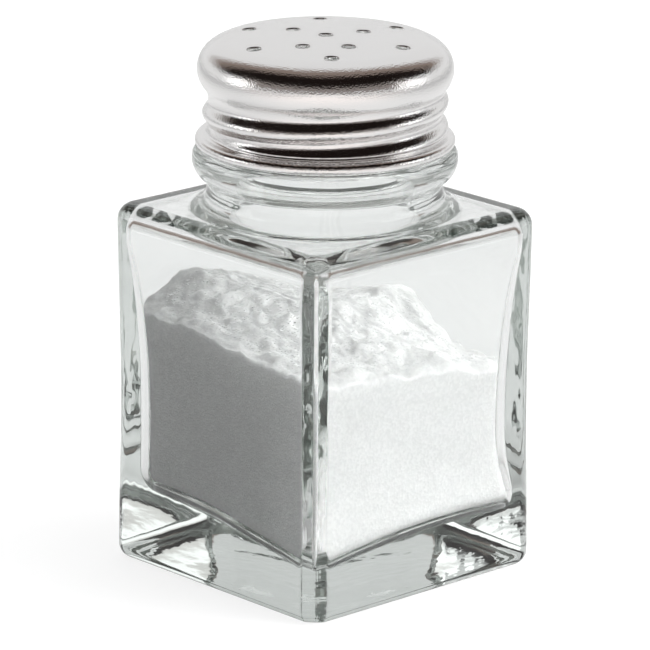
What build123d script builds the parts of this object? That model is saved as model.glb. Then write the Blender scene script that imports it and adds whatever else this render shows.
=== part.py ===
from build123d import *
import math
import os

os.makedirs("parts", exist_ok=True)

# Jar, outside: a square bottle that stands on its base, centred on the Z axis
jar_side = 44.5
jar_corner_radius = 3.2
heel_radius = 2.1
base_dish_radius = 14.0
base_dish_depth = 0.6
shoulder_height = 54.3
rim_radius = 2.6

# Threaded finish and mouth
finish_radius = 15.4
mouth_wall = 2.8
lip_radius = 0.9

# Neck, and the glass bead that the cap comes down to: each rise is from the one before it,
# the neck's reach is from the finish and the others are from the neck
neck_reach = 1.7
neck_rise = 3.9
cove_reach = 2.5
cove_radius = 3.5
bead_foot_reach = 1.1
bead_foot_rise = 0.9
bead_reach = 2.2
bead_rise = 2.6
bead_lower_roll = 3.4
bead_upper_roll = 1.65
ledge_reach = 1.5
ledge_rise = 1.4

# Jar, inside
wall = 3.3
base_thickness = 9.6
cavity_corner_radius = 5.2
cavity_heel_radius = 3.6
shoulder_thickness = 2.5
ceiling_radius = 2.6
throat_flare = 4.0

# Cap: one sheet, stamped to a dome and rolled at its foot; overhang and reach are from the skirt
sheet = 0.5
cap_rise = 16.35
cap_overhang = 1.6
crown_radius = 147.0
haunch_radius = 6.8
haunch_angle = 28.4
edge_radius = 4.0
edge_angle = 40.0
curl_reach = 1.9
curl_height = 1.7
curl_fillet = 0.7

# Screw thread, right hand: rolled in the cap and moulded on the glass, in degrees above and below its start
thread_pitch = 3.85
thread_rise = 6.75
thread_bearing = 47.2
cap_thread_rise = 0.85
cap_thread_width = 2.9
cap_thread_upper_angle = 50.0
cap_thread_lower_angle = 500.0
glass_thread_rise = 0.9
glass_thread_width = 1.9
glass_thread_upper_angle = 20.0
glass_thread_lower_angle = 400.0

# Sprinkle holes: one in the middle, a ring in from the cap's edge, and a wide and a close pair between them
hole_radius = 1.1
hole_ring_inset = 6.25
hole_ring_count = 6
hole_ring_bearing = 21.2
wide_pair_radius = 6.1
wide_pair_bearing = 131.2
wide_pair_angle = 57.0
close_pair_radius = 7.2
close_pair_bearing = 317.2
close_pair_angle = 27.0

# Clearances between the pieces
thread_clearance = 0.15
seat_gap = 0.25
lip_gap = 0.3
salt_gap = 0.15

# Salt, a low heap against the cavity, which slopes down towards one bearing
salt_height = 37.5
salt_crown_radius = 150.0
salt_slope_angle = 9.7
salt_slope_bearing = 20.6

# How far a cut runs past the faces it leaves
overshoot = 1.0

# Radii that follow, from the finish outward through the thread to the cap
mouth_radius = finish_radius - mouth_wall
neck_radius = finish_radius + neck_reach
bead_foot_radius = neck_radius + bead_foot_reach
bead_radius = neck_radius + bead_reach
ledge_radius = neck_radius + ledge_reach
ridge_crest = finish_radius + glass_thread_rise
bore_radius = ridge_crest + thread_clearance
skirt_radius = bore_radius + sheet
cap_radius = skirt_radius + cap_overhang
curl_radius = skirt_radius + curl_reach
hole_ring_radius = cap_radius - hole_ring_inset

# Heights that follow from the rises
neck_height = shoulder_height + neck_rise
bead_foot_height = neck_height + bead_foot_rise
bead_height = bead_foot_height + bead_rise
ledge_height = bead_height + ledge_rise
curl_foot = ledge_height + seat_gap
curl_top = curl_foot + curl_height
curl_roll = curl_height / 2
cap_height = curl_foot + cap_rise
thread_height = curl_foot + thread_rise
ceiling_height = shoulder_height - shoulder_thickness


def swell_radius(width, rise):
    """Radius of the circle whose cap has this width and rise."""
    return (width**2 / 4 + rise**2) / (2 * rise)


def coil(crest_radius, circle_radius, above, below, round_ends):
    """Helical bead of round section, whose crest runs at crest_radius."""
    start = thread_height - thread_pitch * below / 360
    with BuildPart() as bead:
        with BuildLine(Plane.XY.offset(start)) as path:
            Helix(thread_pitch, thread_pitch * (above + below) / 360, crest_radius - circle_radius)
        with BuildSketch(Plane(origin=path.line @ 0, z_dir=path.line % 0)):
            Circle(circle_radius)
        sweep(path=path.line, is_frenet=True)
        for end in round_ends:
            with Locations(path.line @ end):
                Sphere(circle_radius)
    return bead.part.rotate(Axis.Z, thread_bearing - below)


# Cap outline, worked out from its arcs, each tangent to the next
edge_centre_x = cap_radius - edge_radius
haunch_turn = math.radians(haunch_angle)
haunch_centre_x = edge_centre_x - (haunch_radius - edge_radius) * math.sin(haunch_turn)
crown_turn = math.asin(haunch_centre_x / (crown_radius - haunch_radius))
crown_centre_z = cap_height - crown_radius
haunch_centre_z = crown_centre_z + (crown_radius - haunch_radius) * math.cos(crown_turn)
edge_centre_z = haunch_centre_z + (haunch_radius - edge_radius) * math.cos(haunch_turn)
edge_turn = math.radians(90 + edge_angle)
waist_radius = (edge_centre_x + edge_radius * math.sin(edge_turn) - skirt_radius) / (1 - math.sin(edge_turn))
waist_centre_x = skirt_radius + waist_radius
waist_centre_z = edge_centre_z + (edge_radius + waist_radius) * math.cos(edge_turn)


def arc_point(centre_x, centre_z, radius, turn):
    """Point of an arc in the XZ plane, turned from straight up towards +X."""
    return (centre_x + radius * math.sin(turn), centre_z + radius * math.cos(turn))


def cap_outline(inset):
    """Dome and waist of the cap, from the apex down to the skirt, at a depth in the sheet."""
    crown = (0, crown_centre_z, crown_radius - inset)
    haunch = (haunch_centre_x, haunch_centre_z, haunch_radius - inset)
    edge = (edge_centre_x, edge_centre_z, edge_radius - inset)
    waist = (waist_centre_x, waist_centre_z, waist_radius + inset)
    stretches = (
        (crown, 0, crown_turn),
        (haunch, crown_turn, haunch_turn),
        (edge, haunch_turn, edge_turn),
        (waist, edge_turn + math.pi, 3 * math.pi / 2),
    )
    for (x, z, radius), first, last in stretches:
        middle = (first + last) / 2
        ends = [arc_point(x, z, radius, turn) for turn in (first, middle, last)]
        ThreePointArc(*ends)


def crown_height(radius):
    """Height of the cap's outer face over a point of the crown or haunch."""
    if radius < crown_radius * math.sin(crown_turn):
        return crown_centre_z + math.sqrt(crown_radius**2 - radius**2)
    return haunch_centre_z + math.sqrt(haunch_radius**2 - (radius - haunch_centre_x) ** 2)


def underside_height(radius):
    """Height of the cap's inner face over the lip of the jar."""
    inner = haunch_radius - sheet
    return haunch_centre_z + math.sqrt(inner**2 - (radius - haunch_centre_x) ** 2)


def cavity_form(gap):
    """Inside of the jar's body, drawn in by a gap."""
    half = jar_side / 2 - wall - gap
    with BuildPart() as form:
        with BuildSketch(Plane.XY.offset(base_thickness + gap)):
            RectangleRounded(2 * half, 2 * half, cavity_corner_radius - gap)
        extrude(amount=ceiling_height - base_thickness - 2 * gap)
        fillet(form.edges().group_by(Axis.Z)[0], radius=cavity_heel_radius - gap)
        fillet(form.edges().group_by(Axis.Z)[-1], radius=ceiling_radius - gap)
    return form.part


# Jar
finish_height = underside_height(finish_radius - lip_radius) - lip_gap
cove_foot_radius = neck_radius + cove_reach
cove_rise = math.sqrt(cove_radius**2 - (cove_radius - cove_reach) ** 2)
ridge_circle = swell_radius(glass_thread_width, glass_thread_rise)
ridge = coil(ridge_crest, ridge_circle, glass_thread_upper_angle, glass_thread_lower_angle, (0, 1))
cavity = cavity_form(0)
dish_radius = swell_radius(2 * base_dish_radius, base_dish_depth)

with BuildPart() as glass_jar:
    # Square body, with its rim and heel rounded
    with BuildSketch():
        RectangleRounded(jar_side, jar_side, jar_corner_radius)
    extrude(amount=shoulder_height)
    fillet(glass_jar.edges().group_by(Axis.Z)[0], radius=heel_radius)
    fillet(glass_jar.edges().group_by(Axis.Z)[-1], radius=rim_radius)

    # Cove, neck, bead, ledge and finish, turned in one piece
    with BuildSketch(Plane.XZ):
        with BuildLine():
            cove_top = (neck_radius, shoulder_height + cove_rise)
            Line((0, shoulder_height - overshoot), (cove_foot_radius, shoulder_height - overshoot))
            Line((cove_foot_radius, shoulder_height - overshoot), (cove_foot_radius, shoulder_height))
            RadiusArc((cove_foot_radius, shoulder_height), cove_top, cove_radius)
            Polyline(cove_top, (neck_radius, neck_height), (bead_foot_radius, bead_foot_height))
            RadiusArc((bead_foot_radius, bead_foot_height), (bead_radius, bead_height), -bead_lower_roll)
            RadiusArc((bead_radius, bead_height), (ledge_radius, ledge_height), -bead_upper_roll)
            Line((ledge_radius, ledge_height), (finish_radius, ledge_height))
            lip_foot = (finish_radius, finish_height - lip_radius)
            lip_top = (finish_radius - lip_radius, finish_height)
            Line((finish_radius, ledge_height), lip_foot)
            RadiusArc(lip_foot, lip_top, -lip_radius)
            Polyline(lip_top, (0, finish_height), (0, shoulder_height - overshoot))
        make_face()
    revolve(axis=Axis.Z)

    add(ridge)

    # Cavity, throat and mouth
    add(cavity, mode=Mode.SUBTRACT)
    with BuildSketch(Plane.XZ):
        with BuildLine():
            flare_foot = (mouth_radius + throat_flare, ceiling_height)
            flare_top = (mouth_radius, ceiling_height + throat_flare)
            Polyline((0, ceiling_height - overshoot), (flare_foot[0], ceiling_height - overshoot), flare_foot)
            RadiusArc(flare_foot, flare_top, throat_flare)
            Polyline(flare_top, (mouth_radius, finish_height + overshoot), (0, finish_height + overshoot))
            Line((0, finish_height + overshoot), (0, ceiling_height - overshoot))
        make_face()
    revolve(axis=Axis.Z, mode=Mode.SUBTRACT)

    # Shallow dish under the base
    with Locations((0, 0, base_dish_depth - dish_radius)):
        Sphere(dish_radius, mode=Mode.SUBTRACT)

glass_jar.part.label = "glass_jar"
export_step(glass_jar.part, "parts/glass_jar.step")

# Cap
bead_circle = swell_radius(cap_thread_width, cap_thread_rise)
bead_crest = skirt_radius + cap_thread_rise
bead = coil(bead_crest, bead_circle, cap_thread_upper_angle, cap_thread_lower_angle, (1,))
groove = coil(bead_crest - sheet, bead_circle - sheet, cap_thread_upper_angle, cap_thread_lower_angle, (1,))

with BuildPart() as shaker_cap:
    # Dome, waist, skirt and the rolled foot
    with BuildSketch(Plane.XZ):
        with BuildLine():
            cap_outline(0)
            Line((skirt_radius, waist_centre_z), (skirt_radius, curl_top + curl_fillet))
            RadiusArc((skirt_radius, curl_top + curl_fillet), (skirt_radius + curl_fillet, curl_top), -curl_fillet)
            Line((skirt_radius + curl_fillet, curl_top), (curl_radius - curl_roll, curl_top))
            ThreePointArc(
                (curl_radius - curl_roll, curl_top),
                (curl_radius, curl_top - curl_roll),
                (curl_radius - curl_roll, curl_foot),
            )
            Polyline((curl_radius - curl_roll, curl_foot), (0, curl_foot), (0, cap_height))
        make_face()
    revolve(axis=Axis.Z)

    # Thread bead, rolled outward, and its groove on the inside
    add(bead)
    split(bisect_by=Plane.XY.offset(curl_foot), keep=Keep.TOP)
    with BuildSketch(Plane.XZ):
        with BuildLine():
            cap_outline(sheet)
            bore_foot = curl_foot - overshoot
            Polyline((bore_radius, waist_centre_z), (bore_radius, bore_foot), (0, bore_foot))
            Line((0, bore_foot), (0, cap_height - sheet))
        make_face()
    revolve(axis=Axis.Z, mode=Mode.SUBTRACT)
    add(groove, mode=Mode.SUBTRACT)

    # Sprinkle holes, punched straight down
    spots = [(0, 0)]
    for step in range(hole_ring_count):
        spots.append((hole_ring_radius, hole_ring_bearing + step * 360 / hole_ring_count))
    for side in (-1, 1):
        spots.append((wide_pair_radius, wide_pair_bearing + side * wide_pair_angle))
        spots.append((close_pair_radius, close_pair_bearing + side * close_pair_angle))
    for reach, bearing in spots:
        turn = math.radians(bearing)
        with Locations((reach * math.cos(turn), reach * math.sin(turn), crown_height(reach) + overshoot)):
            Hole(hole_radius, depth=sheet + 2 * overshoot)

shaker_cap.part.label = "shaker_cap"
export_step(shaker_cap.part, "parts/shaker_cap.step")

# Salt
heap = cavity_form(salt_gap)

slope = math.radians(salt_slope_angle)
downhill = math.radians(salt_slope_bearing)
upright = Vector(math.sin(slope) * math.cos(downhill), math.sin(slope) * math.sin(downhill), math.cos(slope))
crown_centre = Vector(0, 0, salt_height) - upright * salt_crown_radius

with BuildPart() as salt_fill:
    add(heap)
    with Locations(crown_centre):
        Sphere(salt_crown_radius, mode=Mode.INTERSECT)

salt_fill.part.label = "salt_fill"
export_step(salt_fill.part, "parts/salt_fill.step")
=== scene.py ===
import bpy, math, random
from mathutils import Vector, Matrix, noise
from mathutils.geometry import delaunay_2d_cdt


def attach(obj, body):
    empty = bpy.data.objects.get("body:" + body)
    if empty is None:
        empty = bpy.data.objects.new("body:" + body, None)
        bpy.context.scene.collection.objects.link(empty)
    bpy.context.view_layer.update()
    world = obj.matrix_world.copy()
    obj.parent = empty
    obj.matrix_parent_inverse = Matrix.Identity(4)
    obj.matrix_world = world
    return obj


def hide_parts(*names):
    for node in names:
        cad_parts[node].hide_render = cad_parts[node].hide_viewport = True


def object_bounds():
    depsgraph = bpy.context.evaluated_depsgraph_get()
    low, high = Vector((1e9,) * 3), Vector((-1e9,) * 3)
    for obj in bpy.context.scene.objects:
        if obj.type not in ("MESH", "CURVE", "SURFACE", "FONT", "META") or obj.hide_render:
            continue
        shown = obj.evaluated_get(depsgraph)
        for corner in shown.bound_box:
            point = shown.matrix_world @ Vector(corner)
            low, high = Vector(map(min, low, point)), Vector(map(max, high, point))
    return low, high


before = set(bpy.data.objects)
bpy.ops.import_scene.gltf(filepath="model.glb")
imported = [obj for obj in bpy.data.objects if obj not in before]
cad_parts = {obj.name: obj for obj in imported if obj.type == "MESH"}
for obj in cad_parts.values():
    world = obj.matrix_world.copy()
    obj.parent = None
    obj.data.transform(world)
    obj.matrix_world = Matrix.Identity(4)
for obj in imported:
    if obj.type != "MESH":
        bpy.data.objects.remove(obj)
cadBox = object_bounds()
mm = 0.001
pi = math.pi
print("frame loaded:", sorted(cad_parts))


# shared helpers

def arcRow(cx, cz, r, first, last, steps):
    # points of an arc, turned from straight up towards the outside, in degrees
    row = []
    for i in range(steps + 1):
        a = math.radians(first + (last - first) * i / steps)
        row.append((cx + r * math.sin(a), cz + r * math.cos(a)))
    return row


def lineRow(a, b, steps):
    return [(a[0] + (b[0] - a[0]) * i / steps, a[1] + (b[1] - a[1]) * i / steps) for i in range(steps + 1)]


def smooth(t):
    t = min(1, max(0, t))
    return t * t * (3 - 2 * t)


def ripple(x, y, z, size, seed):
    # soft noise between about -1 and 1, with lumps of the given size in mm
    return noise.noise(Vector((x / size + seed, y / size - seed, z / size + 2 * seed)))


def makeObject(name, verts, faces, body, node, material):
    mesh = bpy.data.meshes.new(name)
    mesh.from_pydata([(x * mm, y * mm, z * mm) for x, y, z in verts], [], faces)
    mesh.validate()
    for face in mesh.polygons:
        face.use_smooth = True
    piece = bpy.data.objects.new(name, mesh)
    bpy.context.scene.collection.objects.link(piece)
    piece.data.materials.append(material)
    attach(piece, body)
    if node:
        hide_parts(node)
    return piece


def ringMesh(rings, closeStart, closeEnd):
    # joins rings of equal length into quads; a closed end is a fan to its middle
    count = len(rings[0])
    verts, faces = [], []
    for ring in rings:
        verts.extend(ring)
    for k in range(len(rings) - 1):
        for i in range(count):
            j = (i + 1) % count
            a, b = k * count, (k + 1) * count
            faces.append((a + i, a + j, b + j, b + i))
    for closed, k, flip in ((closeStart, 0, True), (closeEnd, len(rings) - 1, False)):
        if closed:
            ring = rings[k]
            verts.append(tuple(sum(p[n] for p in ring) / count for n in range(3)))
            middle = len(verts) - 1
            for i in range(count):
                a, b = k * count + i, k * count + (i + 1) % count
                faces.append((middle, b, a) if flip else (middle, a, b))
    return verts, faces


def newMaterial(name):
    material = bpy.data.materials.new(name)
    material.use_nodes = True
    tree = material.node_tree
    tree.nodes.clear()
    out = tree.nodes.new("ShaderNodeOutputMaterial")
    shader = tree.nodes.new("ShaderNodeBsdfPrincipled")
    tree.links.new(shader.outputs[0], out.inputs["Surface"])
    return material, tree, shader, out


# clear glass

glassLook = {
    "ior": 1.52, "tint": (0.985, 0.995, 0.992), "roughness": 0.0,
    "absorbColor": (0.60, 0.65, 0.62), "absorbDensity": 17.0,
    "orangePeel": 260.0, "peelDepth": 0.00004,
    "drawLines": 1500.0, "drawStretch": 0.012, "drawDepth": 0.000022, "drawFrom": 0.0188,
    "stipple": 240.0, "stippleDepth": 0.00011, "stippleUpTo": 0.0007,
}


def clearGlass():
    material, tree, shader, out = newMaterial("clearGlass")
    shader.inputs["Base Color"].default_value = (*glassLook["tint"], 1)
    shader.inputs["Transmission Weight"].default_value = 1
    shader.inputs["IOR"].default_value = glassLook["ior"]
    shader.inputs["Roughness"].default_value = glassLook["roughness"]
    place = tree.nodes.new("ShaderNodeTexCoord")
    peel = tree.nodes.new("ShaderNodeTexNoise")
    peel.inputs["Scale"].default_value = glassLook["orangePeel"]
    peel.inputs["Detail"].default_value = 1
    bump = tree.nodes.new("ShaderNodeBump")
    bump.inputs["Strength"].default_value = 1
    bump.inputs["Distance"].default_value = glassLook["peelDepth"]
    tree.links.new(place.outputs["Object"], peel.inputs["Vector"])
    tree.links.new(peel.outputs["Fac"], bump.inputs["Height"])
    # upright draw lines, only where both x and y are near the corners
    squeeze = tree.nodes.new("ShaderNodeMapping")
    squeeze.inputs["Scale"].default_value = (1, 1, glassLook["drawStretch"])
    lines = tree.nodes.new("ShaderNodeTexNoise")
    lines.inputs["Scale"].default_value = glassLook["drawLines"]
    lines.inputs["Detail"].default_value = 2
    apart = tree.nodes.new("ShaderNodeSeparateXYZ")
    tree.links.new(place.outputs["Object"], squeeze.inputs["Vector"])
    tree.links.new(squeeze.outputs["Vector"], lines.inputs["Vector"])
    tree.links.new(place.outputs["Object"], apart.inputs[0])
    near = mathNode(tree, "MINIMUM", mathNode(tree, "ABSOLUTE", apart.outputs["X"]),
                    mathNode(tree, "ABSOLUTE", apart.outputs["Y"]))
    inCorner = mathNode(tree, "GREATER_THAN", near, glassLook["drawFrom"])
    drawn = tree.nodes.new("ShaderNodeBump")
    drawn.inputs["Strength"].default_value = 1
    drawn.inputs["Distance"].default_value = glassLook["drawDepth"]
    tree.links.new(mathNode(tree, "MULTIPLY", lines.outputs["Fac"], inCorner), drawn.inputs["Height"])
    tree.links.new(bump.outputs["Normal"], drawn.inputs["Normal"])
    # stippled underside
    stipple = tree.nodes.new("ShaderNodeTexNoise")
    stipple.inputs["Scale"].default_value = glassLook["stipple"]
    stipple.inputs["Detail"].default_value = 2
    tree.links.new(place.outputs["Object"], stipple.inputs["Vector"])
    below = mathNode(tree, "LESS_THAN", apart.outputs["Z"], glassLook["stippleUpTo"])
    rough = tree.nodes.new("ShaderNodeBump")
    rough.inputs["Strength"].default_value = 1
    rough.inputs["Distance"].default_value = glassLook["stippleDepth"]
    tree.links.new(mathNode(tree, "MULTIPLY", stipple.outputs["Fac"], below), rough.inputs["Height"])
    tree.links.new(drawn.outputs["Normal"], rough.inputs["Normal"])
    tree.links.new(rough.outputs["Normal"], shader.inputs["Normal"])
    absorb = tree.nodes.new("ShaderNodeVolumeAbsorption")
    absorb.inputs["Color"].default_value = (*glassLook["absorbColor"], 1)
    absorb.inputs["Density"].default_value = glassLook["absorbDensity"]
    tree.links.new(absorb.outputs[0], out.inputs["Volume"])
    return material


# satin stamped steel

steelLook = {
    "color": (0.85, 0.84, 0.835), "roughness": 0.10, "roughSpread": 0.06,
    "grain": 4000.0, "grainDepth": 0.000024, "patch": 120.0, "patchFrom": 0.3, "patchTo": 0.7,
}


def satinSteel():
    material, tree, shader = newMaterial("satinSteel")[:3]
    shader.inputs["Base Color"].default_value = (*steelLook["color"], 1)
    shader.inputs["Metallic"].default_value = 1
    place = tree.nodes.new("ShaderNodeTexCoord")
    grain = tree.nodes.new("ShaderNodeTexVoronoi")
    grain.inputs["Scale"].default_value = steelLook["grain"]
    patch = tree.nodes.new("ShaderNodeTexNoise")
    patch.inputs["Scale"].default_value = steelLook["patch"]
    patch.inputs["Detail"].default_value = 3
    spread = tree.nodes.new("ShaderNodeMapRange")
    spread.inputs["From Min"].default_value = steelLook["patchFrom"]
    spread.inputs["From Max"].default_value = steelLook["patchTo"]
    spread.inputs["To Min"].default_value = steelLook["roughness"]
    spread.inputs["To Max"].default_value = steelLook["roughness"] + steelLook["roughSpread"]
    bump = tree.nodes.new("ShaderNodeBump")
    bump.inputs["Strength"].default_value = 1
    bump.inputs["Distance"].default_value = steelLook["grainDepth"]
    tree.links.new(place.outputs["Object"], grain.inputs["Vector"])
    tree.links.new(place.outputs["Object"], patch.inputs["Vector"])
    tree.links.new(patch.outputs["Fac"], spread.inputs["Value"])
    tree.links.new(spread.outputs["Result"], shader.inputs["Roughness"])
    tree.links.new(grain.outputs["Distance"], bump.inputs["Height"])
    tree.links.new(bump.outputs["Normal"], shader.inputs["Normal"])
    return material


# table salt

saltLook = {
    "color": (0.95, 0.95, 0.945), "shade": (0.87, 0.865, 0.86), "roughness": 0.3, "specular": 0.5,
    "crystal": 2700.0, "crystalDepth": 0.00003, "dullest": 0.88, "patch": 160.0,
    "clearness": 0.6, "depth": 0.0026, "looseColor": (1.0, 1.0, 1.0), "looseRoughness": 0.2,
}


def tableSalt():
    material, tree, shader = newMaterial("tableSalt")[:3]
    shader.inputs["Roughness"].default_value = saltLook["roughness"]
    shader.inputs["Specular IOR Level"].default_value = saltLook["specular"]
    shader.inputs["Subsurface Weight"].default_value = saltLook["clearness"]  # light soaks through salt
    shader.inputs["Subsurface Radius"].default_value = (1, 1, 1)
    shader.inputs["Subsurface Scale"].default_value = saltLook["depth"]
    place = tree.nodes.new("ShaderNodeTexCoord")
    crystal = tree.nodes.new("ShaderNodeTexVoronoi")
    crystal.inputs["Scale"].default_value = saltLook["crystal"]
    patch = tree.nodes.new("ShaderNodeTexNoise")
    patch.inputs["Scale"].default_value = saltLook["patch"]
    patch.inputs["Detail"].default_value = 4
    mix = tree.nodes.new("ShaderNodeMix")
    mix.data_type = "RGBA"
    mix.inputs["A"].default_value = (*saltLook["shade"], 1)
    mix.inputs["B"].default_value = (*saltLook["color"], 1)
    # every crystal has its own brightness
    apart = tree.nodes.new("ShaderNodeSeparateColor")
    bright = tree.nodes.new("ShaderNodeMapRange")
    bright.inputs["To Min"].default_value = saltLook["dullest"]
    bright.inputs["To Max"].default_value = 1
    grained = tree.nodes.new("ShaderNodeMix")
    grained.data_type = "RGBA"
    grained.blend_type = "MULTIPLY"
    grained.inputs["Factor"].default_value = 1
    bump = tree.nodes.new("ShaderNodeBump")
    bump.inputs["Strength"].default_value = 1
    bump.inputs["Distance"].default_value = saltLook["crystalDepth"]
    tree.links.new(place.outputs["Object"], crystal.inputs["Vector"])
    tree.links.new(place.outputs["Object"], patch.inputs["Vector"])
    tree.links.new(patch.outputs["Fac"], mix.inputs["Factor"])
    tree.links.new(crystal.outputs["Color"], apart.inputs[0])
    tree.links.new(apart.outputs["Red"], bright.inputs["Value"])
    tree.links.new(mix.outputs["Result"], grained.inputs["A"])
    tree.links.new(bright.outputs["Result"], grained.inputs["B"])
    tree.links.new(grained.outputs["Result"], shader.inputs["Base Color"])
    tree.links.new(crystal.outputs["Distance"], bump.inputs["Height"])
    tree.links.new(bump.outputs["Normal"], shader.inputs["Normal"])
    return material


def looseSalt():
    # single crystals, whiter and shinier than the heap
    material, tree, shader = newMaterial("looseSalt")[:3]
    shader.inputs["Roughness"].default_value = saltLook["looseRoughness"]
    place = tree.nodes.new("ShaderNodeTexCoord")
    frost = tree.nodes.new("ShaderNodeTexNoise")
    frost.inputs["Scale"].default_value = saltLook["crystal"]
    tone = rampNode(tree, frost.outputs["Fac"], ((0.3, saltLook["color"]), (0.7, saltLook["looseColor"])))
    tree.links.new(place.outputs["Object"], frost.inputs["Vector"])
    tree.links.new(tone, shader.inputs["Base Color"])
    return material


# glass jar, sizes in mm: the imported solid's, but drawn in along its sides and with a wider, less even inside

jar = {
    "half": 22.25, "corner": 3.2, "heel": 2.1, "dishRadius": 14.0, "dishDepth": 0.6,
    "shoulder": 54.3, "rim": 2.6, "drawnIn": 0.25,
    "neckRadius": 17.1, "neck": 58.2, "coveReach": 2.5, "coveRadius": 3.5,
    "beadFootRadius": 18.2, "beadFoot": 59.1, "beadRadius": 19.3, "bead": 61.7,
    "beadLowerRoll": 3.4, "beadUpperRoll": 1.65, "ledgeRadius": 18.6, "ledge": 63.1,
    "finishRadius": 15.4, "finish": 78.14, "mouthRadius": 12.6, "lip": 0.9,
    "wall": 3.05, "base": 9.6, "cavityCorner": 5.0, "seamCorner": 0.45, "cavityHeel": 3.4,
    "seamCut": 1.775, "seamRadius": 10.0, "seamSoften": 0.04, "seamReach": 9.0,
    "ceiling": 51.8, "ceilingRadius": 1.5, "flare": 3.7,
    "spreadHalf": 1.0, "spreadCorner": 2.6, "spreadFrom": 22.0, "spreadUp": 25.0, "spreadDown": 12.0,
    "floorTiltX": -0.105, "floorTiltY": 0.045, "floorBow": 1.2, "floorMiddle": 0.25,
    "threadPitch": 3.85, "threadHeight": 70.1, "threadBearing": 47.2,
    "threadAbove": 20.0, "threadBelow": 400.0, "threadRise": 0.85, "threadHalfWidth": 0.95,
    "threadFade": 12.0, "ripple": 0.03, "innerRipple": 0.10, "rippleSize": 9.0,
    "segments": 96, "cornerCrowding": 0.12,
}


def jarAngles():
    # bearings round the jar, crowded towards the four corners
    n, crowd = jar["segments"], jar["cornerCrowding"]
    turns = []
    for quarter in range(4):
        for i in range(n):
            u = 2 * i / n - 1
            turns.append(math.radians(45 + 90 * quarter + 45 * (crowd * u + (1 - crowd) * u ** 3)))
    return turns


def squareReach(turn, half, corner):
    # how far a rounded square reaches at a bearing; a corner as large as the half gives a circle
    fold = abs((turn + pi / 4) % (pi / 2) - pi / 4)
    c, s = math.cos(fold), math.sin(fold)
    side = half - corner
    if half * s <= side * c:
        return half / c
    return side * (c + s) + math.sqrt(max(0, corner ** 2 - (side * (c - s)) ** 2))


def outerReach(turn, half, corner):
    # two opposite corners, where the mould parts, have a flatter face between two soft edges
    if math.cos(turn) * math.sin(turn) > 0:
        return squareReach(turn, half, corner)
    drawn = jar["corner"] - corner
    r = jar["seamRadius"] - drawn
    middle = half * math.sqrt(2) - jar["seamCut"] + 0.414 * drawn - r
    off = (turn + pi / 4) % pi
    off = min(off, pi - off)
    flat = squareReach(turn, half, 0)
    if off > math.radians(jar["seamReach"]):
        return flat
    face = middle * math.cos(off) + math.sqrt(r ** 2 - (middle * math.sin(off)) ** 2)
    k = jar["seamSoften"]
    low = min(flat, face)
    return low - k * math.log(1 + math.exp(-abs(flat - face) / k))


def helixRise(turn, z, above, below, rise, halfWidth, fade):
    # height of the thread over the wall at a bearing and a level
    best = 0
    for k in range(-3, 3):
        along = math.degrees(turn) - jar["threadBearing"] + 360 * k
        if -below - fade < along < above + fade:
            offset = abs(z - jar["threadHeight"] - jar["threadPitch"] * along / 360)
            if offset < halfWidth:
                taper = smooth((above + fade - along) / (2 * fade)) * smooth((along + below + fade) / (2 * fade))
                best = max(best, rise * taper * math.cos(pi / 2 * offset / halfWidth) ** 1.6)
    return best


def drawIn(z):
    # the flat sides are drawn in a little between heel and rim
    t = (z - jar["heel"]) / (jar["shoulder"] - jar["rim"] - jar["heel"])
    return jar["drawnIn"] * math.sin(pi * min(1, max(0, t))) ** 2


def cavitySpread(turn, z):
    # the blown inside is wider and squarer near the top, and near the foot on the side away from the heap
    if z > jar["spreadFrom"]:
        return min(1.1, ((z - jar["spreadFrom"]) / jar["spreadUp"]) ** 2.2)
    return min(1.1, ((jar["spreadFrom"] - z) / jar["spreadDown"]) ** 2) * smooth(0.5 + 1.2 * math.cos(turn))


def cavityHalf(turn, z):
    return jar["half"] - jar["wall"] + jar["spreadHalf"] * cavitySpread(turn, z)


def cavityCorner(turn, z):
    # two opposite corners, where the mould parts, are sharper inside than the others
    if math.cos(turn) * math.sin(turn) < 0:
        return jar["seamCorner"]
    return jar["cavityCorner"] - jar["spreadCorner"] * cavitySpread(turn, z)


def floorLift(x, y, z):
    # the floor of the cavity is uneven, higher along the sides and towards the heap
    half = jar["half"] - jar["wall"]
    near, far = sorted((min(1, abs(x) / half), min(1, abs(y) / half)))
    lift = jar["floorTiltX"] * x + jar["floorTiltY"] * y + jar["floorBow"] * (1 - near ** 2) * far ** 2
    fade = min(1, max(0, (jar["ceiling"] - z) / (jar["ceiling"] - jar["base"])))
    return lift * fade ** 2


def cavityPoint(turn, z, inset, gap):
    # one point of the cavity's wall, drawn in by an inset where it turns into floor or ceiling
    reach = squareReach(turn, cavityHalf(turn, z) - inset - gap, max(0.3, cavityCorner(turn, z) - inset - gap))
    x, y = reach * math.cos(turn), reach * math.sin(turn)
    low, high = jar["base"] + jar["cavityHeel"], jar["ceiling"] - jar["ceilingRadius"]
    waves = jar["innerRipple"] * smooth(min(high - z, z - low) / 7)
    shrink = 1 - waves * (1 + ripple(x, y, z, jar["rippleSize"], 7)) / reach
    return (x * shrink, y * shrink, z + floorLift(x, y, z))


def cavityRing(turns, z, inset, gap=0):
    return [cavityPoint(turn, z, inset, gap) for turn in turns]


def wallAt(turn, height, gap):
    # the same wall at a true height above the floor
    z = height
    for _ in range(6):
        z += height - cavityPoint(turn, z, 0, gap)[2]
    return cavityPoint(turn, z, 0, gap)


def sectionRing(turns, z, half, corner, waves, seed):
    ring = []
    for turn in turns:
        reach = outerReach(turn, half, corner)
        x, y = reach * math.cos(turn), reach * math.sin(turn)
        shrink = 1 - waves * (1 + ripple(x, y, z, jar["rippleSize"], seed)) / reach
        ring.append((x * shrink, y * shrink, z))
    return ring


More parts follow.
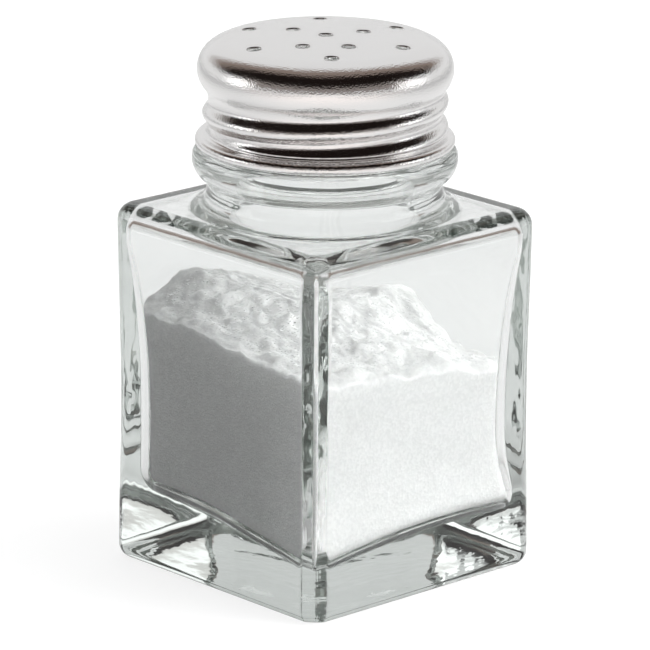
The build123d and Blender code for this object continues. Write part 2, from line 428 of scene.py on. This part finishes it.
def betweenRings(a, b, steps):
    # rings between two rings, without the ends
    rows = []
    for k in range(1, steps):
        t = k / steps
        rows.append([tuple(p[n] + (q[n] - p[n]) * t for n in range(3)) for p, q in zip(a, b)])
    return rows


def floorMiddle(turns, gap=0):
    # the tiny ring in which the floor of the cavity ends
    z = jar["base"] + jar["floorMiddle"] + gap
    return [(0.02 * math.cos(t), 0.02 * math.sin(t), z) for t in turns]


def buildJar(material):
    turns = jarAngles()
    rings = []
    half, corner = jar["half"], jar["corner"]

    def circle(r, z):
        rings.append([(r * math.cos(t), r * math.sin(t), z) for t in turns])

    # dish under the base, then the ring that it stands on
    dish = (jar["dishRadius"] ** 2 + jar["dishDepth"] ** 2) / (2 * jar["dishDepth"])
    for k in range(1, 15):
        r = jar["dishRadius"] * k / 14
        circle(r, max(0, jar["dishDepth"] - dish + math.sqrt(dish ** 2 - r ** 2)))
    heel = jar["heel"]
    foot = sectionRing(turns, 0, half - heel, corner - heel, 0, 0)
    rings.extend(betweenRings(rings[-1], foot, 5))
    for k in range(11):
        a = pi / 2 * k / 10
        rings.append(sectionRing(turns, heel * (1 - math.cos(a)), half - heel * (1 - math.sin(a)),
                                 corner - heel * (1 - math.sin(a)), 0, 0))
    # sides
    rim, shoulder = jar["rim"], jar["shoulder"]
    for k in range(1, 40):
        z = heel + (shoulder - rim - heel) * k / 40
        rings.append(sectionRing(turns, z, half - drawIn(z), corner, jar["ripple"] * smooth(min(k, 40 - k) / 6), 3))
    for k in range(13):
        a = pi / 2 * k / 12
        rings.append(sectionRing(turns, shoulder - rim * (1 - math.sin(a)), half - rim * (1 - math.cos(a)),
                                 corner - rim * (1 - math.cos(a)), 0, 0))
    coveFoot = jar["neckRadius"] + jar["coveReach"]
    crest = rings[-1]
    ledge = [(coveFoot * math.cos(t), coveFoot * math.sin(t), shoulder) for t in turns]
    rings.extend(betweenRings(crest, ledge, 6))
    # cove, neck, bead and ledge
    coveR = jar["coveRadius"]
    lowest = math.degrees(math.asin((coveR - jar["coveReach"]) / coveR))
    coveZ = shoulder + coveR * math.cos(math.radians(lowest))
    profile = arcRow(jar["neckRadius"] + coveR, coveZ, coveR, 180 + lowest, 270, 12)
    profile += lineRow((jar["neckRadius"], coveZ), (jar["neckRadius"], jar["neck"]), 3)[1:]
    profile += lineRow((jar["neckRadius"], jar["neck"]), (jar["beadFootRadius"], jar["beadFoot"]), 3)[1:]
    crown = (jar["beadRadius"], jar["bead"])
    profile += bulge((jar["beadFootRadius"], jar["beadFoot"]), crown, jar["beadLowerRoll"], 10)
    profile += bulge(crown, (jar["ledgeRadius"], jar["ledge"]), jar["beadUpperRoll"], 8)
    profile += [(jar["ledgeRadius"] - 0.15, jar["ledge"] + 0.05)]
    profile += lineRow((jar["ledgeRadius"] - 0.4, jar["ledge"]), (jar["finishRadius"] + 0.4, jar["ledge"]), 3)
    profile += arcRow(jar["finishRadius"] + 0.4, jar["ledge"] + 0.4, 0.4, 180, 270, 4)[1:]
    for r, z in profile:
        circle(r, z)
    # finish with its thread, lip and mouth
    lip = jar["lip"]
    low, high = jar["ledge"] + 0.5, jar["finish"] - lip
    for k in range(1, 72):
        z = low + (high - low) * k / 72
        row = []
        for t in turns:
            r = jar["finishRadius"] + helixRise(t, z, jar["threadAbove"], jar["threadBelow"], jar["threadRise"],
                                                jar["threadHalfWidth"], jar["threadFade"])
            row.append((r * math.cos(t), r * math.sin(t), z))
        rings.append(row)
    for r, z in arcRow(jar["finishRadius"] - lip, high, lip, 90, 0, 8):
        circle(r, z)
    for r, z in arcRow(jar["mouthRadius"] + lip, high, lip, 0, -90, 8):
        circle(r, z)
    flare, ceiling = jar["flare"], jar["ceiling"]
    for r, z in lineRow((jar["mouthRadius"], high), (jar["mouthRadius"], ceiling + flare), 12)[1:]:
        circle(r, z)
    for r, z in arcRow(jar["mouthRadius"] + flare, ceiling + flare, flare, -90, -180, 10)[1:]:
        circle(r, z)
    # ceiling, walls and floor of the cavity
    roof = jar["ceilingRadius"]
    start = rings[-1]
    rings.extend(betweenRings(start, cavityRing(turns, ceiling, roof), 5))
    for k in range(11):
        a = pi / 2 * k / 10
        rings.append(cavityRing(turns, ceiling - roof * (1 - math.cos(a)), roof * (1 - math.sin(a))))
    bottom, cavityHeel = jar["base"], jar["cavityHeel"]
    low, high = bottom + cavityHeel, ceiling - roof
    for k in range(1, 40):
        rings.append(cavityRing(turns, high + (low - high) * k / 40, 0))
    for k in range(11):
        a = pi / 2 * k / 10
        rings.append(cavityRing(turns, bottom + cavityHeel * (1 - math.sin(a)), cavityHeel * (1 - math.cos(a))))
    edge, middle = rings[-1], floorMiddle(turns)
    rings.extend(betweenRings(edge, middle, 10))
    rings.append(middle)
    verts, faces = ringMesh(rings, True, True)
    return makeObject("clearJar", verts, faces, "jar", "glass_jar", material)


def bulge(a, b, r, steps):
    # arc of radius r that swells outward between two points of a profile
    mx, mz = (a[0] + b[0]) / 2, (a[1] + b[1]) / 2
    dx, dz = b[0] - a[0], b[1] - a[1]
    chord = math.hypot(dx, dz)
    inward = math.sqrt(r ** 2 - chord ** 2 / 4) / chord
    cx, cz = mx - dz * inward, mz + dx * inward
    first = math.degrees(math.atan2(a[0] - cx, a[1] - cz))
    last = math.degrees(math.atan2(b[0] - cx, b[1] - cz))
    return arcRow(cx, cz, r, first, last, steps)[1:]


# shaker cap: one stamped sheet

cap = {
    "top": 79.7, "sheet": 0.5, "radius": 18.55, "crownRadius": 147.0, "haunchRadius": 6.8, "haunchAngle": 28.4,
    "edgeRadius": 4.0, "edgeAngle": 40.0, "skirtRadius": 16.95, "foot": 63.35,
    "curlRadius": 18.85, "curlHeight": 1.7, "curlFillet": 0.7,
    "threadRise": 0.85, "threadHalfWidth": 1.75, "threadAbove": 50.0, "threadBelow": 500.0, "threadFade": 16.0,
    "holeRadius": 1.1, "ringRadius": 12.3, "ringCount": 6, "ringBearing": 21.2,
    "pairs": ((6.1, 131.2, 57.0), (7.2, 317.2, 27.0)),
    "dimple": 0.12, "dimpleReach": 1.0, "patchRadius": 14.1, "segments": 240,
    "holeRings": (0, 0.06, 0.14, 0.26, 0.42, 0.64), "holeClear": 0.85, "patchStep": 0.45,
    "patchSpacing": 0.5, "threadUpTo": 72.5,
}


def capArcs():
    # centres and turns of the arcs of the cap's outline, each tangent to the next
    edgeX = cap["radius"] - cap["edgeRadius"]
    haunch = math.radians(cap["haunchAngle"])
    haunchX = edgeX - (cap["haunchRadius"] - cap["edgeRadius"]) * math.sin(haunch)
    crown = math.asin(haunchX / (cap["crownRadius"] - cap["haunchRadius"]))
    crownZ = cap["top"] - cap["crownRadius"]
    haunchZ = crownZ + (cap["crownRadius"] - cap["haunchRadius"]) * math.cos(crown)
    edgeZ = haunchZ + (cap["haunchRadius"] - cap["edgeRadius"]) * math.cos(haunch)
    low = math.radians(90 + cap["edgeAngle"])
    waistR = (edgeX + cap["edgeRadius"] * math.sin(low) - cap["skirtRadius"]) / (1 - math.sin(low))
    waistZ = edgeZ + (cap["edgeRadius"] + waistR) * math.cos(low)
    return {"edgeX": edgeX, "haunchX": haunchX, "crown": crown, "crownZ": crownZ, "haunchZ": haunchZ,
            "edgeZ": edgeZ, "waistR": waistR, "waistX": cap["skirtRadius"] + waistR, "waistZ": waistZ}


def domeHeight(r, inset):
    a = capArcs()
    if r <= (cap["crownRadius"] - inset) * math.sin(a["crown"]):
        return a["crownZ"] + math.sqrt((cap["crownRadius"] - inset) ** 2 - r ** 2)
    return a["haunchZ"] + math.sqrt((cap["haunchRadius"] - inset) ** 2 - (r - a["haunchX"]) ** 2)


def holeSpots():
    spots = [(0.0, 0.0)]
    for k in range(cap["ringCount"]):
        t = math.radians(cap["ringBearing"] + 360 * k / cap["ringCount"])
        spots.append((cap["ringRadius"] * math.cos(t), cap["ringRadius"] * math.sin(t)))
    for reach, bearing, spread in cap["pairs"]:
        for side in (-1, 1):
            t = math.radians(bearing + side * spread)
            spots.append((reach * math.cos(t), reach * math.sin(t)))
    return spots


def topPatch():
    # flat layout of the crown with its punched holes; returns points, triangles and the hole loops
    spots, hole, outer = holeSpots(), cap["holeRadius"], cap["patchRadius"]
    count, around = cap["segments"], 40
    points, edges, loops = [], [], []
    for k in range(count):
        t = 2 * pi * k / count
        points.append((outer * math.cos(t), outer * math.sin(t)))
        edges.append((k, (k + 1) % count))
    for x, y in spots:
        for step, wider in enumerate(cap["holeRings"]):
            base, r = len(points), hole + wider
            for k in range(around):
                t = 2 * pi * (k + 0.5 * (step % 2)) / around
                px, py = x + r * math.cos(t), y + r * math.sin(t)
                if step == 0 or math.hypot(px, py) < outer - 0.15:
                    points.append((px, py))
            if step == 0:
                loops.append(list(range(base, base + around)))
                edges.extend((base + k, base + (k + 1) % around) for k in range(around))
    r = outer - 0.35
    while r > 0.2:
        n = max(8, int(2 * pi * r / cap["patchSpacing"]))
        for k in range(n):
            t = 2 * pi * (k + 0.37 * (int(r * 10) % 3)) / n
            px, py = r * math.cos(t), r * math.sin(t)
            if all(math.hypot(px - x, py - y) > hole + cap["holeClear"] for x, y in spots):
                points.append((px, py))
        r -= cap["patchStep"]
    result = delaunay_2d_cdt([Vector(p) for p in points], edges, [], 0, 1e-7)
    verts, faces, origin = result[0], result[2], result[3]
    back = {}
    for new, olds in enumerate(origin):
        for old in olds:
            back[old] = new
    kept = []
    for face in faces:
        cx = sum(verts[v].x for v in face) / len(face)
        cy = sum(verts[v].y for v in face) / len(face)
        if all(math.hypot(cx - x, cy - y) > hole * 0.995 for x, y in spots):
            kept.append(tuple(face))
    rim = [back[k] for k in range(count)]
    return [(v.x, v.y) for v in verts], kept, rim, [[back[k] for k in loop] for loop in loops]


def patchHeight(x, y, inset):
    # dome with a soft dimple where each hole was punched
    z = domeHeight(math.hypot(x, y), inset)
    for hx, hy in holeSpots():
        away = (math.hypot(x - hx, y - hy) - cap["holeRadius"]) / cap["dimpleReach"]
        if away < 1:
            z -= cap["dimple"] * (1 - smooth(away)) ** 2
    return z


def buildCap(material):
    a = capArcs()
    count = cap["segments"]
    turns = [2 * pi * k / count for k in range(count)]
    flat, tris, rim, loops = topPatch()
    verts, faces = [], []
    for inset in (0, cap["sheet"]):
        verts.extend((x, y, patchHeight(x, y, inset)) for x, y in flat)
    under = len(flat)
    for tri in tris:
        p, q, s = (flat[v] for v in tri)
        turnsLeft = (q[0] - p[0]) * (s[1] - p[1]) - (q[1] - p[1]) * (s[0] - p[0]) > 0
        tri = tri if turnsLeft else tri[::-1]
        faces.append(tri)
        faces.append(tuple(v + under for v in tri[::-1]))
    for loop in loops:
        for k in range(len(loop)):
            p, q = loop[k], loop[(k + 1) % len(loop)]
            faces.append((p, q, q + under, p + under))
    # outside from the patch down to the curl, then inside back up to it
    start = math.degrees(math.asin((cap["patchRadius"] - a["haunchX"]) / cap["haunchRadius"]))
    low = 90 + cap["edgeAngle"]
    outside = arcRow(a["haunchX"], a["haunchZ"], cap["haunchRadius"], start, cap["haunchAngle"], 10)[1:]
    outside += arcRow(a["edgeX"], a["edgeZ"], cap["edgeRadius"], cap["haunchAngle"], low, 34)[1:]
    outside += arcRow(a["waistX"], a["waistZ"], a["waistR"], low + 180, 270, 12)[1:]
    curlTop = cap["foot"] + cap["curlHeight"]
    fillet, roll = cap["curlFillet"], cap["curlHeight"] / 2
    skirt = cap["skirtRadius"]
    outside += lineRow((skirt, a["waistZ"]), (skirt, curlTop + fillet), 44)[1:]
    outside += arcRow(skirt + fillet, curlTop + fillet, fillet, 270, 180, 6)[1:]
    outside += lineRow((skirt + fillet, curlTop), (cap["curlRadius"] - roll, curlTop), 2)[1:]
    outside += arcRow(cap["curlRadius"] - roll, curlTop - roll, roll, 0, 180, 16)[1:]
    bore = skirt - cap["sheet"]
    inside = lineRow((cap["curlRadius"] - roll, cap["foot"]), (bore + 0.3, cap["foot"]), 3)[1:]
    inside += arcRow(bore + 0.3, cap["foot"] + 0.3, 0.3, 180, 270, 4)[1:]
    inside += lineRow((bore, cap["foot"] + 0.3), (bore, a["waistZ"]), 44)[1:]
    inside += arcRow(a["waistX"], a["waistZ"], a["waistR"] + cap["sheet"], 270, low + 180, 10)[1:]
    inside += arcRow(a["edgeX"], a["edgeZ"], cap["edgeRadius"] - cap["sheet"], low, cap["haunchAngle"], 24)[1:]
    innerR = cap["haunchRadius"] - cap["sheet"]
    stop = math.degrees(math.asin((cap["patchRadius"] - a["haunchX"]) / innerR))
    inside += arcRow(a["haunchX"], a["haunchZ"], innerR, cap["haunchAngle"], stop, 6)[1:-1]
    rows = [rim]
    for r, z in outside + inside:
        base = len(verts)
        for t in turns:
            swell = 0
            if curlTop + fillet * 0.3 < z < cap["threadUpTo"]:
                swell = helixRise(t, z, cap["threadAbove"], cap["threadBelow"], cap["threadRise"],
                                  cap["threadHalfWidth"], cap["threadFade"]) * smooth((z - curlTop) / 0.8)
            verts.append(((r + swell) * math.cos(t), (r + swell) * math.sin(t), z))
        rows.append(list(range(base, base + count)))
    rows.append([v + under for v in rim])
    for upper, lower in zip(rows, rows[1:]):
        for k in range(count):
            j = (k + 1) % count
            faces.append((upper[k], lower[k], lower[j], upper[j]))
    return makeObject("steelCap", verts, faces, "cap", "shaker_cap", material)


# salt: a heap against the glass, with loose crystals on it

salt = {
    "gap": 0.06, "height": 37.5, "slopeX": -0.16, "slopeY": -0.06, "crown": 150.0,
    "humps": ((-18, -8, 1.8, 5), (-19, -19, -1.5, 5), (-19, 19, -2.5, 8), (19, -19, 1.8, 7),
              (-3.4, 18.8, 1.5, 4), (8, 19, -2.5, 7)),
    "lump": 0.8, "lumpSize": 4.5, "fine": 0.35, "fineSize": 1.4, "clump": 0.7, "clumpSize": 2.6,
    "rings": 90, "sideRings": 44, "sideWave": 0.01, "sideWaveSize": 1.6, "seed": 11,
    "crystals": 4500, "crystalSize": 0.34, "crystalTilt": 0.3, "crystalSide": 13.5, "crystalCorner": 3.6,
}


def saltTop(x, y):
    z = salt["height"] + salt["slopeX"] * x + salt["slopeY"] * y - (x * x + y * y) / (2 * salt["crown"])
    for hx, hy, rise, spread in salt["humps"]:
        z += rise * math.exp(-((x - hx) ** 2 + (y - hy) ** 2) / (2 * spread ** 2))
    z += salt["lump"] * ripple(x, y, 0, salt["lumpSize"], 21)
    z += salt["clump"] * max(0, ripple(x, y, 0, salt["clumpSize"], 43)) ** 0.7
    z += salt["fine"] * ripple(x, y, 0, salt["fineSize"], 5)
    return z


def buildSalt(material):
    turns = jarAngles()
    gap, rings = salt["gap"], []
    bottom, heel = jar["base"], jar["cavityHeel"]
    rings.append(floorMiddle(turns, gap))
    edge = [(x, y, z + gap) for x, y, z in cavityRing(turns, bottom, heel, gap)]
    rings.extend(betweenRings(rings[0], edge, 6))
    for k in range(11):
        a = pi / 2 * k / 10
        ring = cavityRing(turns, bottom + heel * (1 - math.cos(a)), heel * (1 - math.sin(a)), gap)
        rings.append([(x, y, z + gap * math.cos(a)) for x, y, z in ring])
    foot = rings[-1]
    sides = salt["sideRings"]
    for k in range(1, sides + 1):
        ring = []
        for turn, (fx, fy, fz) in zip(turns, foot):
            z = fz + (saltTop(fx, fy) - fz) * k / sides
            x, y, _ = wallAt(turn, z, gap)
            wave = salt["sideWave"] * smooth((k - 1) / 4) * (1 + ripple(x, y, z, salt["sideWaveSize"], 4))
            draw = 1 - wave / math.hypot(x, y)
            ring.append((x * draw, y * draw, z))
        rings.append(ring)
    last = rings[-1]
    count = salt["rings"]
    for k in range(1, count):
        t = 1 - k / count
        rings.append([(x * t, y * t, saltTop(x * t, y * t)) for x, y, _ in last])
    verts, faces = ringMesh(rings, True, True)
    return makeObject("saltHeap", verts, faces, "jar", "salt_fill", material)


def buildCrystals(material):
    # small flat crystals of salt, strewn over the surface
    rng = random.Random(salt["seed"])
    reach = jar["half"] - jar["wall"] - 0.8
    verts, faces = [], []
    corners = [(a, b, c) for a in (-1, 1) for b in (-1, 1) for c in (-1, 1)]
    sides = ((0, 1, 3, 2), (4, 6, 7, 5), (0, 4, 5, 1), (2, 3, 7, 6), (0, 2, 6, 4), (1, 5, 7, 3))
    for _ in range(salt["crystals"]):
        x, y = rng.uniform(-reach, reach), rng.uniform(-reach, reach)
        size = salt["crystalSize"] * rng.uniform(0.45, 1.0) / 2
        tilt = Vector((rng.gauss(0, 1), rng.gauss(0, 1), 0)).normalized()
        tip = salt["crystalTilt"] * rng.random()
        turn = Matrix.Rotation(tip, 3, tilt) @ Matrix.Rotation(rng.uniform(0, pi), 3, "Z")
        stretch = Vector((rng.uniform(0.8, 1.4), rng.uniform(0.8, 1.2), rng.uniform(0.08, 0.15)))
        side = salt["crystalSide"]
        if math.hypot(max(0, abs(x) - side), max(0, abs(y) - side)) > salt["crystalCorner"]:
            continue
        z = saltTop(x, y) + size * 0.15
        base = len(verts)
        for c in corners:
            v = turn @ Vector((c[0] * stretch.x, c[1] * stretch.y, c[2] * stretch.z)) * size
            verts.append((x + v.x, y + v.y, z + v.z))
        faces.extend(tuple(base + i for i in side) for side in sides)
    piece = makeObject("saltCrystals", verts, faces, "jar", None, material)
    for face in piece.data.polygons:
        face.use_smooth = False
    return piece


# studio: pale floor, white backdrop, a dark room in front, soft light mostly from the right

studio = {
    "bounces": 96, "azimuth": 47.224, "seenWhite": 0.81,
    "floor": (0.14, 0.14, 0.14), "floorGlow": 0.84, "floorSeen": 0.52, "floorSize": 6.0,
    "archHalf": 0.6, "archTop": 72.0, "archStops": (0.24, 0.26, 0.46, 0.56),
    "lightUpTo": 0.33, "lightFade": 0.07, "frontHalf": 0.93, "frontFrom": 0.09,
    "roomDark": (0.010, 0.007, 0.006), "roomWarm": (0.25, 0.20, 0.175),
    "roomGrey": (0.28, 0.25, 0.235), "greyFrom": 0.15, "greyUpTo": 0.46, "greyFade": 0.16,
    # floor glow for metal and glass: cream in front, darker far out to the sides, and a painted shadow under the jar
    "floorCream": (1.39, 1.28, 1.235), "undimmedHalf": 0.10, "dimFade": 0.25, "sideDim": 0.6, "jarShadowLevel": 0.15,
    "jarShadowReach": 0.003, "jarShadowFade": 0.008, "creamFrom": 0.12, "creamFade": 0.17,
    "ambient": 0.12, "key": 19.0, "keyTurn": 82.0, "keyRise": 34.0, "keySpread": 8.0,
    "back": 2.0, "backTurn": 170.0, "backRise": 45.0, "backSpread": 4.0,
}
boxes = {
    "leftBox": {"turn": -84.0, "rise": 12.0, "away": 0.9, "width": 0.34, "height": 0.36, "power": 0.36},
    "rightBox": {"turn": 84.0, "rise": 13.0, "away": 0.9, "width": 0.42, "height": 0.38, "power": 0.36},
}


def studioDirection(turn, rise):
    # unit direction, turned from the camera's side towards the picture's right, and raised
    bearing = math.radians(studio["azimuth"] + turn)
    lift = math.radians(rise)
    return Vector((math.sin(bearing) * math.cos(lift), -math.cos(bearing) * math.cos(lift), math.sin(lift)))


def mathNode(tree, operation, *values):
    node = tree.nodes.new("ShaderNodeMath")
    node.operation = operation
    for k, value in enumerate(values):
        if isinstance(value, (int, float)):
            node.inputs[k].default_value = value
        else:
            tree.links.new(value, node.inputs[k])
    return node.outputs[0]


def rampNode(tree, factor, stops):
    ramp = tree.nodes.new("ShaderNodeValToRGB")
    marks = ramp.color_ramp.elements
    marks[0].position, marks[1].position = stops[0][0], stops[-1][0]
    for _ in stops[1:-1]:
        marks.new(0.5)
    for mark, (position, color) in zip(marks, stops):
        mark.position = position
        mark.color = (*color, 1)
    tree.links.new(factor, ramp.inputs["Fac"])
    return ramp.outputs["Color"]


def towards(tree, place, direction):
    # how far each direction of the surround points along one given direction
    along = tree.nodes.new("ShaderNodeVectorMath")
    along.operation = "DOT_PRODUCT"
    along.inputs[1].default_value = direction
    tree.links.new(place, along.inputs[0])
    return along.outputs["Value"]


def steep(tree, value, limit, width):
    # 0 to 1 as a value passes a limit; a negative width falls instead
    step = mathNode(tree, "MULTIPLY_ADD", value, 1 / width, 0.5 - limit / width)
    return mathNode(tree, "MINIMUM", 1, mathNode(tree, "MAXIMUM", 0, step))


def seenDirectly(tree, path):
    # 1 for what the camera sees, also in metal and through glass, before any matt surface
    seen = mathNode(tree, "MAXIMUM", path.outputs["Is Camera Ray"], path.outputs["Is Glossy Ray"])
    seen = mathNode(tree, "MAXIMUM", seen, path.outputs["Is Transmission Ray"])
    return mathNode(tree, "MULTIPLY", seen, mathNode(tree, "LESS_THAN", path.outputs["Diffuse Depth"], 0.5))


def buildWorld():
    world = bpy.data.worlds.new("surround")
    bpy.context.scene.world = world
    world.use_nodes = True
    world.cycles.sampling_method = "NONE"  # so that polished pieces mirror only what is seen
    tree = world.node_tree
    tree.nodes.clear()
    out = tree.nodes.new("ShaderNodeOutputWorld")
    place = tree.nodes.new("ShaderNodeTexCoord").outputs["Generated"]
    path = tree.nodes.new("ShaderNodeLightPath")
    # white backdrop in an arch behind, by how far to the side and how far up and over it reaches
    aside = mathNode(tree, "ABSOLUTE", towards(tree, place, studioDirection(90, 0)))
    above = towards(tree, place, studioDirection(0, 90))
    over = mathNode(tree, "ARCTAN2", above, towards(tree, place, studioDirection(180, 0)))
    reach = mathNode(tree, "ADD", mathNode(tree, "POWER", mathNode(tree, "DIVIDE", aside, studio["archHalf"]), 2),
                     mathNode(tree, "POWER", mathNode(tree, "DIVIDE", over, math.radians(studio["archTop"])), 2))
    white, dark, warm = (studio["seenWhite"],) * 3, studio["roomDark"], studio["roomWarm"]
    tones = (white, warm, warm, dark)
    arch = rampNode(tree, mathNode(tree, "DIVIDE", reach, 4), tuple(zip(studio["archStops"], tones)))
    # low in the front it is grey
    ahead = mathNode(tree, "MULTIPLY", steep(tree, over, pi / 2, 0.1), steep(tree, above, studio["greyFrom"], 0.1))
    ahead = mathNode(tree, "MULTIPLY", ahead, steep(tree, above, studio["greyUpTo"], -studio["greyFade"]))
    room = tree.nodes.new("ShaderNodeMix")
    room.data_type = "RGBA"
    room.inputs["B"].default_value = (*studio["roomGrey"], 1)
    tree.links.new(ahead, room.inputs["Factor"])
    tree.links.new(arch, room.inputs["A"])
    # low down it is light all round, but for the dark front
    low = steep(tree, above, studio["lightUpTo"], -studio["lightFade"])
    front = mathNode(tree, "MULTIPLY", steep(tree, over, pi / 2, 0.1), steep(tree, aside, studio["frontHalf"], -0.03))
    front = mathNode(tree, "MULTIPLY", front, steep(tree, above, studio["frontFrom"], 0.03))
    view = tree.nodes.new("ShaderNodeMix")
    view.data_type = "RGBA"
    view.inputs["B"].default_value = (*white, 1)
    tree.links.new(mathNode(tree, "MULTIPLY", low, mathNode(tree, "SUBTRACT", 1, front)), view.inputs["Factor"])
    tree.links.new(room.outputs["Result"], view.inputs["A"])
    plain = tree.nodes.new("ShaderNodeMix")
    plain.data_type = "RGBA"
    plain.inputs["B"].default_value = (1, 1, 1, 1)
    tree.links.new(path.outputs["Is Camera Ray"], plain.inputs["Factor"])
    tree.links.new(view.outputs["Result"], plain.inputs["A"])
    backdrop = tree.nodes.new("ShaderNodeBackground")
    tree.links.new(plain.outputs["Result"], backdrop.inputs["Color"])
    # soft light on matt surfaces
    level = studio["ambient"]
    for name in ("key", "back"):
        direction = studioDirection(studio[name + "Turn"], studio[name + "Rise"])
        lobe = mathNode(tree, "MAXIMUM", 0, towards(tree, place, direction))
        lobe = mathNode(tree, "POWER", lobe, studio[name + "Spread"])
        level = mathNode(tree, "MULTIPLY_ADD", lobe, studio[name], level)
    light = tree.nodes.new("ShaderNodeBackground")
    light.inputs["Color"].default_value = (1, 1, 1, 1)
    tree.links.new(level, light.inputs["Strength"])
    mix = tree.nodes.new("ShaderNodeMixShader")
    tree.links.new(seenDirectly(tree, path), mix.inputs["Fac"])
    tree.links.new(light.outputs[0], mix.inputs[1])
    tree.links.new(backdrop.outputs[0], mix.inputs[2])
    tree.links.new(mix.outputs[0], out.inputs["Surface"])


def buildFloor():
    size = studio["floorSize"]
    mesh = bpy.data.meshes.new("floor")
    mesh.from_pydata([(-size, -size, 0), (size, -size, 0), (size, size, 0), (-size, size, 0)], [], [(0, 1, 2, 3)])
    floor = bpy.data.objects.new("floor", mesh)
    bpy.context.scene.collection.objects.link(floor)
    floor.location.z = cadBox[0][2] - 0.00002
    material = bpy.data.materials.new("paleFloor")
    material.use_nodes = True
    tree = material.node_tree
    tree.nodes.clear()
    out = tree.nodes.new("ShaderNodeOutputMaterial")
    path = tree.nodes.new("ShaderNodeLightPath")
    matt = tree.nodes.new("ShaderNodeBsdfDiffuse")
    matt.inputs["Color"].default_value = (*studio["floor"], 1)
    glow = tree.nodes.new("ShaderNodeEmission")
    both = tree.nodes.new("ShaderNodeAddShader")
    level = mathNode(tree, "MULTIPLY_ADD", path.outputs["Is Camera Ray"],
                     studio["floorGlow"] - studio["floorSeen"], studio["floorSeen"])
    # metal and glass see the floor cream in front, darker far out to the sides, and darkest under the jar, where a
    # shadow of the jar is painted into the glow
    place = tree.nodes.new("ShaderNodeTexCoord").outputs["Object"]
    unseen = mathNode(tree, "SUBTRACT", 1, path.outputs["Is Camera Ray"])
    # the glow that metal and glass see is darker far out to the sides
    far = steep(tree, mathNode(tree, "ABSOLUTE", towards(tree, place, studioDirection(90, 0))),
                studio["undimmedHalf"] + studio["dimFade"] / 2, studio["dimFade"])
    apart = tree.nodes.new("ShaderNodeSeparateXYZ")
    tree.links.new(place, apart.inputs[0])
    # painted shadow: the glow that metal and glass see drops to a fraction inside the jar's footprint
    under = mathNode(tree, "MAXIMUM", mathNode(tree, "ABSOLUTE", apart.outputs["X"]),
                     mathNode(tree, "ABSOLUTE", apart.outputs["Y"]))
    under = steep(tree, under, jar["half"] * mm + studio["jarShadowReach"], -studio["jarShadowFade"])
    # the glow is dimmed far out to the sides, and dimmed most in the painted shadow under the jar
    for zone, change in ((far, -studio["sideDim"]), (under, studio["jarShadowLevel"] - 1)):
        zone = mathNode(tree, "MULTIPLY", zone, unseen)
        level = mathNode(tree, "MULTIPLY", level, mathNode(tree, "MULTIPLY_ADD", zone, change, 1))
    ahead = towards(tree, place, studioDirection(0, 0))
    front = mathNode(tree, "MULTIPLY", steep(tree, ahead, studio["creamFrom"], studio["creamFade"]), unseen)
    tinted = tree.nodes.new("ShaderNodeMix")
    tinted.data_type = "RGBA"
    tinted.inputs["A"].default_value = (1, 1, 1, 1)
    tinted.inputs["B"].default_value = (*studio["floorCream"], 1)
    tree.links.new(front, tinted.inputs["Factor"])
    tree.links.new(tinted.outputs["Result"], glow.inputs["Color"])
    tree.links.new(mathNode(tree, "MULTIPLY", seenDirectly(tree, path), level), glow.inputs["Strength"])
    tree.links.new(matt.outputs[0], both.inputs[0])
    tree.links.new(glow.outputs[0], both.inputs[1])
    tree.links.new(both.outputs[0], out.inputs["Surface"])
    floor.data.materials.append(material)


def buildBoxes():
    aim = Vector((0, 0, 0.045))
    for name, box in boxes.items():
        lamp = bpy.data.lights.new(name, "AREA")
        lamp.shape = "RECTANGLE"
        lamp.size, lamp.size_y = box["width"], box["height"]
        lamp.energy = box["power"]
        holder = bpy.data.objects.new(name, lamp)
        bpy.context.scene.collection.objects.link(holder)
        direction = studioDirection(box["turn"], box["rise"])
        holder.location = aim + direction * box["away"]
        holder.rotation_euler = direction.to_track_quat("Z", "Y").to_euler()


# camera at the photograph's angle

shot = {"azimuth": 47.224, "rise": 16.216, "away": 764.66, "lens": 290.37, "aimHeight": 36.06, "aimRight": 0.157,
        "roll": 0.363}


def buildCamera():
    azimuth, rise = math.radians(shot["azimuth"]), math.radians(shot["rise"])
    right = Vector((math.cos(azimuth), math.sin(azimuth), 0))
    back = Vector((math.sin(azimuth) * math.cos(rise), -math.cos(azimuth) * math.cos(rise), math.sin(rise)))
    eye = Vector((0, 0, 40)) + back * shot["away"]
    aim = Vector((0, 0, shot["aimHeight"])) + right * shot["aimRight"]
    data = bpy.data.cameras.new("view")
    data.lens = shot["lens"]
    data.sensor_width = 36
    data.clip_end = 50
    camera = bpy.data.objects.new("view", data)
    bpy.context.scene.collection.objects.link(camera)
    facing = (eye - aim).to_track_quat("Z", "Y").to_matrix().to_4x4()
    camera.matrix_world = Matrix.Translation(eye * mm) @ facing @ Matrix.Rotation(math.radians(shot["roll"]), 4, "Z")
    bpy.context.scene.camera = camera


bpy.context.scene.view_settings.view_transform = "Standard"
for kind in ("max_bounces", "glossy_bounces", "transmission_bounces"):
    setattr(bpy.context.scene.cycles, kind, studio["bounces"])  # light runs far inside the thick glass
buildWorld()
buildFloor()
buildBoxes()
buildCamera()
print("studio and camera placed")
glass, steel, grains = clearGlass(), satinSteel(), tableSalt()
buildJar(glass)
print("jar built")
buildCap(steel)
print("cap built")
buildSalt(grains)
buildCrystals(looseSalt())
print("salt poured")
